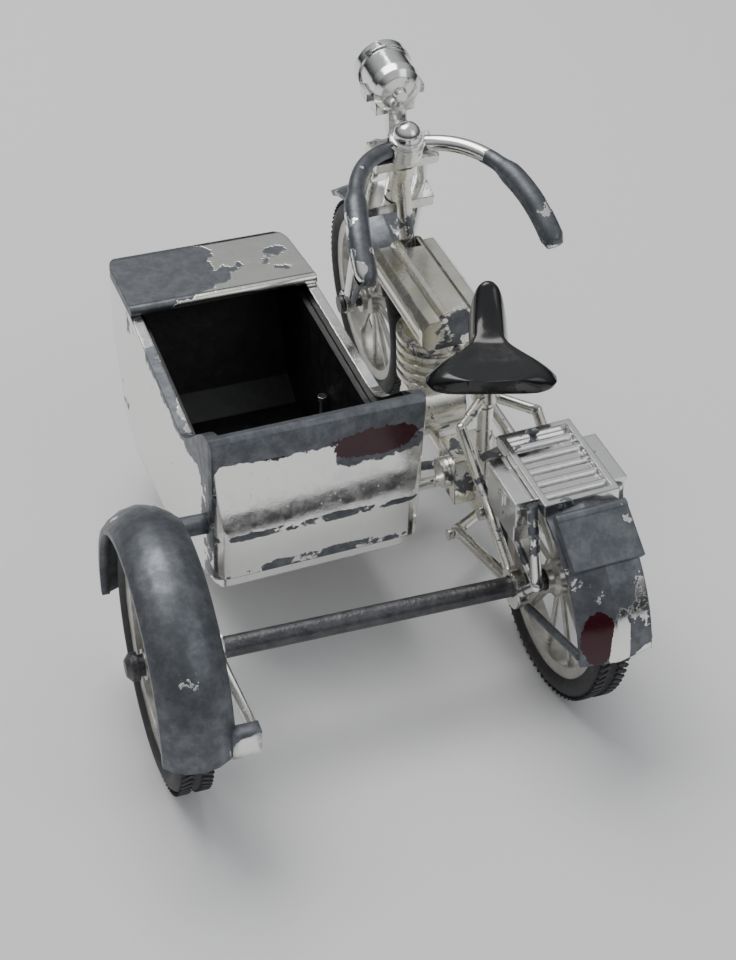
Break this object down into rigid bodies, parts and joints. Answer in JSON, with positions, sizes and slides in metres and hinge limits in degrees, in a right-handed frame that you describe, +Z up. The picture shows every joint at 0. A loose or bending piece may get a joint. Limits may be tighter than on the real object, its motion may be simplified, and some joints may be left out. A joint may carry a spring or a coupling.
{
  "type": "toy motorcycle with sidecar",
  "caption": "Small free-rolling die-cast motorcycle with an open sidecar, wire wheels that turn, a fork that steers and a saddle that swivels, in worn bright plating.",
  "frame": {"origin": "middle of the object's outline box at the bottom, where the tyres meet the ground", "axes": "+Z up, -Y is the way the motorcycle faces, +X is its left, the side the sidecar is on"},
  "size_m": [0.0408, 0.0618, 0.037],
  "materials": {
    "worn_plating": "bright plating over cast zinc, rubbed through and yellowed",
    "bare_zinc": "blue-grey bare casting with bright remnants of plating",
    "rim_plating": "dulled plating",
    "tyre_rubber": "black rubber with a ribbed tread",
    "black_gloss": "glossy moulded plastic",
    "black_matt": "matt moulded plastic",
    "axle_steel": "dull scratched steel",
    "lens": "clear"
  },
  "bodies": {
    "chassis": {"frame": "worn_plating", "fuel_tank": "worn_plating", "engine_crankcase": "worn_plating", "engine_barrel": "worn_plating", "gearbox": "worn_plating", "exhaust": "worn_plating", "footrests": "bare_zinc", "rear_mudguard": "bare_zinc", "luggage_rack": "worn_plating", "rack_stays": "bare_zinc", "toolbox_left": "worn_plating", "toolbox_right": "worn_plating", "rear_plate": "bare_zinc", "saddle_post": "worn_plating", "side_rivets": "worn_plating", "rear_axle": "axle_steel", "sidecar_tub": "worn_plating", "sidecar_cowl": "worn_plating", "sidecar_insert": "black_matt", "sidecar_seat": "black_matt", "sidecar_keel": "worn_plating", "insert_peg": "axle_steel", "sidecar_strut": "worn_plating", "sidecar_mudguard": "bare_zinc", "sidecar_stay": "worn_plating"},
    "fork": {"steering_fork": "worn_plating", "fork_springs": "worn_plating", "steering_nut": "worn_plating", "handlebar": "bare_zinc", "bar_clamp": "worn_plating", "headlamp": "worn_plating", "lamp_lens": "lens", "front_mudguard": "bare_zinc", "front_axle": "axle_steel"},
    "front_wheel": {"front_rim": "rim_plating", "front_tyre": "tyre_rubber"},
    "rear_wheel": {"rear_rim": "rim_plating", "rear_tyre": "tyre_rubber"},
    "sidecar_wheel": {"sidecar_rim": "rim_plating", "sidecar_tyre": "tyre_rubber"},
    "saddle": {"saddle": "black_gloss"}
  },
  "joints": [
    {"name": "steering", "type": "hinge", "parent": "chassis", "child": "fork", "pos_m": [-0.01281, -0.02052, 0.0095], "axis": [0.0649, 0.3665, 0.9282], "range_deg": [-20, 20]},
    {"name": "front_wheel_spin", "type": "hinge", "parent": "fork", "child": "front_wheel", "pos_m": [-0.01281, -0.02138, 0.0095], "axis": [0.9976, 0, -0.0698], "continuous": true},
    {"name": "rear_wheel_spin", "type": "hinge", "parent": "chassis", "child": "rear_wheel", "pos_m": [-0.01341, 0.01963, 0.0095], "axis": [1, 0, 0], "continuous": true},
    {"name": "sidecar_wheel_spin", "type": "hinge", "parent": "chassis", "child": "sidecar_wheel", "pos_m": [0.01759, 0.01963, 0.0095], "axis": [1, 0, 0], "continuous": true},
    {"name": "saddle_swivel", "type": "hinge", "parent": "chassis", "child": "saddle", "pos_m": [-0.01194, 0.00562, 0.02197], "axis": [0.0698, 0, 0.9976], "range_deg": [-10, 50]}
  ]
}
